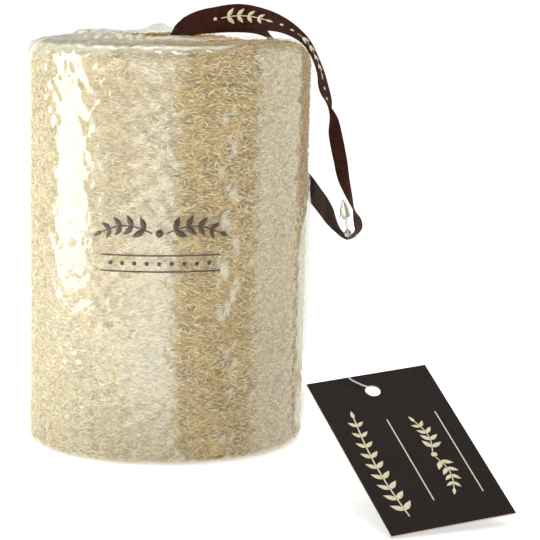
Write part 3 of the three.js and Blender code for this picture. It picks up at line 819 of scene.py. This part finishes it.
def ribbon_frame(count):
    """Places, directions across and face directions at equal steps of the ribbon's route."""
    where = np.linspace(0, 1, count)
    middle = even_curve(RIBBON_ROUTE, where)
    tangent = unit(np.gradient(middle, axis=0))
    across = even_curve(RIBBON_ACROSS, where)
    across = unit(across - (across * tangent).sum(axis=1, keepdims=True) * tangent)
    return middle, across, unit(np.cross(tangent, across))


def ribbon_piece(settings, material):
    """The flat section carried along the route, with a flat cap at each end."""
    count, samples = 420, 24
    middle, across, face = ribbon_frame(count)
    half = settings.ribbon_width / MM / 2
    thick = settings.ribbon_thickness / MM / 2
    side, depth = ribbon_section(samples)
    points = (
        middle[:, None, :]
        + (half * side)[None, :, None] * across[:, None, :]
        + (thick * depth)[None, :, None] * face[:, None, :]
    )
    walls = grid_faces(count, samples, True)
    caps = [np.arange(samples)[::-1][None, :], (count - 1) * samples + np.arange(samples)[None, :]]
    piece = mesh_piece("satin_ribbon", points.reshape(-1, 3), [walls, *caps], material)
    grid = (count, samples)
    along = distances(middle)[:, None]
    give_uv(piece, np.broadcast_to(half * side, grid), np.broadcast_to(along, grid))
    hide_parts("ribbon")
    leave_no_shade(piece)
    return piece


def loop_route():
    """The strand's places: from the ball over the card's face, through its hole, up behind it, through the
    ribbon's bend and back to the foot of the bullet."""
    hole = CARD_LENGTH - CARD_HOLE_FROM_TOP
    return np.array([
        (64.1, -51, 82.4),
        (64.1, -54, 78),
        (63.6, -69, 58),
        (62, -83.5, 46),
        on_card(14.8, CARD_LENGTH - 1, 2.2),
        on_card(18, hole + 3.2, 1.5),
        on_card(20.6, hole + 0.4, 1.6),
        on_card(21.6, hole - 0.5, 0.3),
        on_card(20.8, hole + 0.3, -1.3),
        on_card(18.5, hole + 3.6, -1.6),
        on_card(15.8, CARD_LENGTH + 0.6, -1.2),
        on_card(14.4, CARD_LENGTH + 3.4, -0.2),
        (62.7, -66, 59.5),
        (64.6, -44.5, 76.8),
        (66.6, -37.2, 81.2),
        (65.8, -38, 85),
        (65.1, -42, 88.6),
        (64.8, -46.2, 90.2),
        (64.4, -48.5, 90.5),
    ])


def loop_piece(settings, material):
    """A round strand along its route."""
    path = evenly_along(spaced_curve(loop_route(), np.linspace(0, 1, 1200)), 320)
    tangent = unit(np.gradient(path, axis=0))
    outward = unit(np.cross(tangent, [0.31, 0.42, 0.85]))
    radius = np.full((1, len(path)), settings.strand_width / MM / 2)
    points, faces = tube_shell(path[None], outward[None], radius, radius, 10)
    piece = mesh_piece("nylon_strand", points, faces, material)
    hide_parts("tag_loop")
    return piece, path


def three_across(x, half):
    """A row of three points at each x: half to one side, the middle, and half to the other."""
    return np.stack([np.stack([x, side * half], axis=1) for side in (-1, 0, 1)], axis=1)


def leaf_shape(length, width, samples=9):
    """A leaf along +x: half its width follows a sine that is fullest before the middle, with blunt ends."""
    place = np.linspace(0, 1, samples)
    half = 0.5 * width * np.maximum(np.sin(math.pi * place ** 0.8), 0.05)
    return three_across(length * place, half)


def turned(shape, angle, x, y):
    """A flat shape turned by the angle and moved."""
    rotation = np.array([[math.cos(angle), -math.sin(angle)], [math.sin(angle), math.cos(angle)]])
    return shape @ rotation.T + [x, y]


def stroke(points, width):
    """A flat line of even width through the points, with three points across."""
    points = np.asarray(points, float)
    tangent = unit(np.gradient(points, axis=0))
    side = np.stack([-tangent[:, 1], tangent[:, 0]], axis=1) * width / 2
    return np.stack([points - side, points, points + side], axis=1)


def straight(start, end, width):
    """A straight stroke with enough points to follow a curved surface."""
    return stroke(np.linspace(start, end, 41), width)


def seed_dot(x, y, radius):
    """A small round dot: half its width is the sine of the turn and its length minus the cosine, with blunt
    ends."""
    turn = np.linspace(0, math.pi, 9)
    return three_across(-np.cos(turn), np.maximum(np.sin(turn), 0.1)) * radius + [x, y]


def leaf_branch(length, pairs, leaf_length, leaf_width, bend, stem):
    """A branch along +x: a stem that bows as a sine, leaves in pairs that shorten to the tip, and one leaf
    at the end."""
    place = np.linspace(0, 1, 25)
    line = np.stack([length * place, bend * np.sin(math.pi * place)], axis=1)
    shapes = [stroke(line, stem)]
    for k in range(pairs):
        share = (k + 0.6) / (pairs + 0.4)
        x = length * share
        y = bend * math.sin(math.pi * share)
        slope = math.atan2(bend * math.pi * math.cos(math.pi * share), length)
        size = 1 - 0.35 * share
        for way in (1, -1):
            leaf = leaf_shape(leaf_length * size, leaf_width * size)
            shapes.append(turned(leaf, slope + way * 0.85, x, y))
    end = math.atan2(-bend * math.pi, length)
    shapes.append(turned(leaf_shape(leaf_length * 0.7, leaf_width * 0.65), end, length, 0))
    return shapes


def print_piece(name, shapes, place, material, clearance):
    """Flat shapes laid on a surface: place turns two flat coordinates to points at a small clearance. The
    wall is given outwards, so the print closes."""
    points = []
    faces = []
    start = 0
    for shape in shapes:
        rows, columns = shape.shape[:2]
        points.append(place(shape[..., 0], shape[..., 1], clearance).reshape(-1, 3))
        faces.append(start + grid_faces(rows, columns, False))
        start += rows * columns
    piece = mesh_piece(name, np.vstack(points), [np.vstack(faces)], material)
    wall = piece.modifiers.new("ink_thickness", "SOLIDIFY")
    wall.thickness = 0.03 * MM
    wall.offset = 1
    return piece


def film_print_shapes():
    """Two branches that bow apart from a seed in the middle, over a row of dots between two ruled lines."""
    right = leaf_branch(19, 4, 5.6, 2.3, 2.6, 0.45)
    right = [turned(shape, 0, 2.6, 3.2) for shape in right]
    left = [shape[:, ::-1] * [-1, 1] for shape in right]
    rules = [straight((-22, height), (22, height), 0.5) for height in (-4.8, -10.6)]
    dots = [seed_dot(x, -7.7, 0.75) for x in np.linspace(-18, 18, 9)]
    return [*right, *left, seed_dot(0, 3.2, 1.4), *rules, *dots]


def film_place(settings, centre_angle, centre_z):
    """Turns flat coordinates into places on the film: across is an arc at the sponge's radius."""
    def place(across, up, clearance):
        angle = centre_angle + across / SPONGE_RADIUS
        along = SIDE_FOOT_ALONG + centre_z - FOOT_RECESS - FOOT_ROUNDING + up
        return on_skin(angle, along, film_lift(settings, angle, along) + clearance)[0]
    return place


def ribbon_place(settings, start):
    """Turns flat coordinates into places on the ribbon's outer face, from a distance along its route."""
    middle, across, face = ribbon_frame(900)
    distance = distances(middle)

    def place(along, up, clearance):
        spot, side, out = (at_distances(line, distance, start + along) for line in (middle, across, face))
        above = settings.ribbon_thickness / MM / 2 + clearance
        return spot - side * np.asarray(up)[..., None] - out * above
    return place


def ribbon_print_shapes():
    """A branch between two dots, along the ribbon's middle."""
    branch = leaf_branch(17, 4, 4.2, 1.7, 0.5, 0.4)
    return [*branch, seed_dot(-2.4, 0, 0.7), seed_dot(23.2, 0, 0.7)]


def card_place(across, up, clearance):
    return on_card(across, up, CARD_THICKNESS + clearance)


def card_print_shapes():
    """A long branch up the card's left side, and a short pair of branches between two rules on its right."""
    long_branch = leaf_branch(48, 9, 5.2, 2.2, 1.6, 0.5)
    shapes = [turned(shape, math.pi / 2, 9.5, 7) for shape in long_branch]
    right = [turned(shape, math.pi / 2, 29.5, 33.6) for shape in leaf_branch(15, 4, 4.6, 1.9, -1.8, 0.4)]
    left = [shape[:, ::-1] * [1, -1] + [0, 64.4] for shape in right]
    shapes += [*right, *left, seed_dot(29.5, 32.2, 1.1)]
    return shapes + [straight((x, 12), (x, 52), 0.45) for x in (20.5, 38.5)]


# Settings a user would change


def length_setting(name, description, default):
    """A length in metres."""
    return bpy.props.FloatProperty(name=name, description=description, default=default, unit="LENGTH")


def tone_setting(name, description, default):
    """A colour as an sRGB hex value."""
    return bpy.props.StringProperty(
        name=name, description=f"{description}, as an sRGB hex value", default=default)


class LoofahFibreSettings(bpy.types.PropertyGroup):
    """Sizes and tones of the luffa fibres."""

    fibre_width: length_setting("Fibre width", "Width of one fibre", 0.00046)
    fibre_length: length_setting("Fibre length", "Mean length of one fibre", 0.0029)
    fibres_per_layer: bpy.props.IntProperty(
        name="Fibres per layer", description="Fibres in each layer round the side", default=9000)
    pale_tone: tone_setting("Pale tone", "Well bleached fibre", "#f0e6bd")
    middle_tone: tone_setting("Middle tone", "Most of the fibre", "#d0b67b")
    # Besides fibre that is darker of itself, this colour carries painted shade for fibre that lies deep.
    deep_tone: tone_setting("Deep tone", "Fibre that lies deep", "#ab8a4c")
    # This colour is painted shade at the bottom of the meshes.
    painted_gap_shade: tone_setting("Gap tone", "Bottom of the meshes", "#80602c")


class ShrinkFilmSettings(bpy.types.PropertyGroup):
    """Fit and clearness of the film."""

    film_gap: length_setting("Film gap", "Mean distance from skin to film", 0.0008)
    film_wall: length_setting("Film wall", "Thickness of the film", 0.00004)
    seam_height: length_setting("Seam height", "How far the sealed seam stands out", 0.0009)
    clearness: bpy.props.FloatProperty(
        name="Veil", description="Share of light that each face of the flat film keeps back", default=0.07,
        min=0, max=1, subtype="FACTOR")
    ink: tone_setting("Ink", "Print on the film", "#3a2b20")


class RibbonSettings(bpy.types.PropertyGroup):
    """Sizes and colours of the satin ribbon."""

    ribbon_width: length_setting("Ribbon width", "Width of the ribbon", 0.010)
    ribbon_thickness: length_setting("Ribbon thickness", "Thickness of the ribbon", 0.0004)
    face: tone_setting("Face", "Lit face of the satin", "#452820")
    shade: tone_setting("Shade", "Satin between the threads", "#261511")


class TagSettings(bpy.types.PropertyGroup):
    """Sizes and colours of the card and its strand."""

    strand_width: length_setting("Strand width", "Width of the nylon strand", 0.0006)
    card_face: tone_setting("Card face", "Printed face", "#241a17")
    card_shade: tone_setting("Card shade", "Mottle of the printed face", "#1e1512")
    ink: tone_setting("Ink", "Print on the card and ribbon", "#ddd5b4")


class StudioSettings(bpy.types.PropertyGroup):
    """Light and floor."""

    sky: bpy.props.FloatProperty(
        name="Surround", description="Brightness of the white surround", default=0.62)
    floor_glow: bpy.props.FloatProperty(
        name="Floor glow", description="Light that the floor gives of itself", default=0.5)


# Operators


class LOOFAH_OT_stage(bpy.types.Operator):
    """Sets up the pale floor, the soft light and the camera"""

    bl_idname = "loofah.stage"
    bl_label = "Studio"

    def execute(self, context):
        settings = context.scene.loofah_studio
        make_camera(context.scene)
        make_floor(settings)
        make_light(context.scene, settings)
        return {"FINISHED"}


class LOOFAH_OT_ribbon(bpy.types.Operator):
    """Makes the satin ribbon"""

    bl_idname = "loofah.ribbon"
    bl_label = "Ribbon"

    def execute(self, context):
        settings = context.scene.loofah_ribbon
        ribbon_piece(settings, woven_satin(settings))
        return {"FINISHED"}


class LOOFAH_OT_tag(bpy.types.Operator):
    """Makes the nylon strand and finishes its lock and the card"""

    bl_idname = "loofah.tag"
    bl_label = "Tag and strand"

    def execute(self, context):
        settings = context.scene.loofah_tag
        strand, path = loop_piece(settings, drawn_nylon())
        lock = finish_node("loop_lock", moulded_nylon())
        card = finish_node("swing_tag", coated_card(settings))
        return {"FINISHED"}


class LOOFAH_OT_sponge(bpy.types.Operator):
    """Finishes the sponge's solid and lays its fibres"""

    bl_idname = "loofah.sponge"
    bl_label = "Sponge"

    def execute(self, context):
        settings = context.scene.loofah_fibre
        finish_node("loofah", luffa_mat(settings))
        fibre = dried_luffa_fibre(settings)
        for layer in range(4):
            side_fibres(settings, f"side_fibres_{layer + 1}", 100 + layer, fibre)
        # The top fibres are strongly darkened as painted shade, the foot fibres a little.
        end_fibres(settings, "top_fibres", 200, fibre, count=1900, reach=43, upward=1, shade=0.75)
        end_fibres(
            settings, "foot_fibres", 300, fibre, count=700, reach=FOOT_RADIUS - 3, upward=-1, shade=0.1)
        return {"FINISHED"}


class LOOFAH_OT_film(bpy.types.Operator):
    """Makes the shrink film"""

    bl_idname = "loofah.film"
    bl_label = "Film"

    def execute(self, context):
        settings = context.scene.loofah_film
        film_piece(settings, shrink_film(settings))
        return {"FINISHED"}


class LOOFAH_OT_prints(bpy.types.Operator):
    """Prints plain leaf branches on the film and the card"""

    bl_idname = "loofah.prints"
    bl_label = "Prints"

    def execute(self, context):
        film = context.scene.loofah_film
        tag = context.scene.loofah_tag
        dark = printing_ink("dark_film_ink", film.ink, "#4c3b2d", 0.35)
        cream = printing_ink("cream_card_ink", tag.ink, "#cfc6a2", 0.5)
        front = film_place(film, math.radians(-90) - 3.4 / SPONGE_RADIUS, 81.5)
        print_piece("film_print", film_print_shapes(), front, dark, 0.16)
        ribbon = context.scene.loofah_ribbon
        for number, start in enumerate(RIBBON_PRINTS):
            place = ribbon_place(ribbon, start)
            printed = print_piece(
                f"ribbon_print_{number + 1}", ribbon_print_shapes(), place, cream, 0.03)
            leave_no_shade(printed)
        print_piece("card_print", card_print_shapes(), card_place, cream, 0.02)
        return {"FINISHED"}


def finish_node(name, material):
    """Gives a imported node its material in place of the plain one."""
    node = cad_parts[name]
    node.data.materials.clear()
    node.data.materials.append(material)
    return node


def make_camera(scene):
    """The photograph's view: a long lens a little above the top, looking slightly down and to the right."""
    camera = bpy.data.objects.new("camera", bpy.data.cameras.new("camera"))
    camera.data.sensor_width = 36
    camera.data.lens = 165.28
    camera.location = (0, -0.92314, 0.21429)
    camera.rotation_euler = (math.radians(80.702), 0, math.radians(-2.368))
    scene.collection.objects.link(camera)
    scene.camera = camera


def make_floor(settings):
    """One wide sheet of paper, large enough to fill the view to the horizon."""
    mesh = bpy.data.meshes.new("floor")
    reach = 30
    corners = [(-reach, -reach, 0), (reach, -reach, 0), (reach, reach, 0), (-reach, reach, 0)]
    mesh.from_pydata(corners, [], [(0, 1, 2, 3)])
    mesh.materials.append(studio_floor(settings))
    floor = bpy.data.objects.new("floor", mesh)
    floor.location.z = -0.0004
    bpy.context.scene.collection.objects.link(floor)


def softbox(scene, name, place, toward, width, height, radiance, colour=(1, 1, 1)):
    """A rectangular area light. Its power is radiance times pi times its area."""
    light = bpy.data.lights.new(name, "AREA")
    light.color = colour
    light.shape = "RECTANGLE"
    light.size = width
    light.size_y = height
    light.energy = radiance * math.pi * width * height
    lamp = bpy.data.objects.new(name, light)
    lamp.location = place
    direction = np.subtract(toward, place)
    lamp.rotation_euler = direction_euler(direction)
    lamp.visible_camera = False
    scene.collection.objects.link(lamp)


def direction_euler(direction):
    """Turns that point a lamp's -Z along a direction, with its X level."""
    x, y, z = unit(np.asarray(direction, float))
    return (math.acos(-z), 0, math.atan2(-x, y))


def make_light(scene, settings):
    """A white surround, a hard bright panel at the left, a low bounce and a high panel in front, a softer
    panel at the right and a box overhead."""
    world = bpy.data.worlds.new("surround")
    world.use_nodes = True
    background = world.node_tree.nodes["Background"]
    background.inputs["Color"].default_value = (1, 1, 1, 1)
    background.inputs["Strength"].default_value = settings.sky
    scene.world = world
    scene.view_settings.view_transform = "Standard"
    softbox(scene, "left_panel", (-0.415, -0.055, 0.12), (0, -0.02, 0.1), 0.24, 0.24, 8.2, (0.95, 1, 0.97))
    softbox(scene, "front_bounce", (-0.15, -0.54, 0.003), (-0.15, -0.54, 1), 0.32, 0.84, 2)
    softbox(scene, "front_panel", (0.12, -0.72, 0.78), (0.02, 0, 0.15), 0.3, 0.2, 7)
    softbox(scene, "right_panel", (0.5, 0.12, 0.16), (0, 0.04, 0.1), 0.6, 0.3, 0.9, (1, 0.93, 0.8))
    softbox(scene, "overhead", (0, 0.12, 0.8), (0, 0, 0.1), 0.7, 0.5, 1.8)


class LOOFAH_PT_panel(bpy.types.Panel):
    """Lists the sponge's settings and steps"""

    bl_label = "Loofah"
    bl_idname = "LOOFAH_PT_panel"
    bl_space_type = "VIEW_3D"
    bl_region_type = "UI"
    bl_category = "Loofah"

    def draw(self, context):
        layout = self.layout
        for holder, operator in SETTINGS_AND_STEPS:
            box = layout.box()
            settings = getattr(context.scene, holder)
            for key in settings.__annotations__:
                box.prop(settings, key)
            box.operator(operator)


SETTINGS = {
    "loofah_studio": StudioSettings,
    "loofah_ribbon": RibbonSettings,
    "loofah_tag": TagSettings,
    "loofah_fibre": LoofahFibreSettings,
    "loofah_film": ShrinkFilmSettings,
}
SETTINGS_AND_STEPS = [
    ("loofah_studio", "loofah.stage"),
    ("loofah_ribbon", "loofah.ribbon"),
    ("loofah_tag", "loofah.tag"),
    ("loofah_fibre", "loofah.sponge"),
    ("loofah_film", "loofah.film"),
    ("loofah_film", "loofah.prints"),
]
CLASSES = [
    *SETTINGS.values(),
    LOOFAH_OT_stage,
    LOOFAH_OT_ribbon,
    LOOFAH_OT_tag,
    LOOFAH_OT_sponge,
    LOOFAH_OT_film,
    LOOFAH_OT_prints,
    LOOFAH_PT_panel,
]


def register():
    for made in CLASSES:
        bpy.utils.register_class(made)
    for holder, group in SETTINGS.items():
        setattr(bpy.types.Scene, holder, bpy.props.PointerProperty(type=group))


def unregister():
    for holder in SETTINGS:
        delattr(bpy.types.Scene, holder)
    for made in reversed(CLASSES):
        bpy.utils.unregister_class(made)


def main():
    register()
    bpy.ops.loofah.stage()
    bpy.ops.loofah.ribbon()
    bpy.ops.loofah.tag()
    bpy.ops.loofah.sponge()
    bpy.ops.loofah.film()
    bpy.ops.loofah.prints()


if __name__ == "__main__":
    main()
